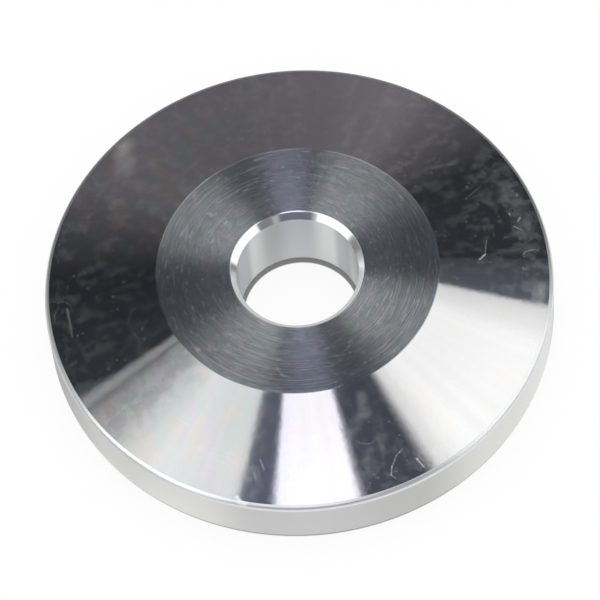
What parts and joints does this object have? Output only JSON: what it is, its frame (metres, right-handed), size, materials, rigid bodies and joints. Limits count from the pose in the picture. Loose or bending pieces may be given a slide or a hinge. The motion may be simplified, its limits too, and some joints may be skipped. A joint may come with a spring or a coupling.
{
  "type": "turned conical disc",
  "caption": "Round turned aluminium disc with a raised flat centre, a shallow conical flank, a short cylindrical rim and a chamfered through bore.",
  "frame": {"origin": "centre of the flat underside, on the turning axis", "axes": "+Z along the turning axis, out of the raised face; X and Y are free because the part is a body of revolution"},
  "size_m": [0.05, 0.05, 0.0084],
  "materials": {
    "aluminium": "bright as turned"
  },
  "bodies": {
    "root": {"turned_disc": "aluminium"}
  },
  "joints": []
}
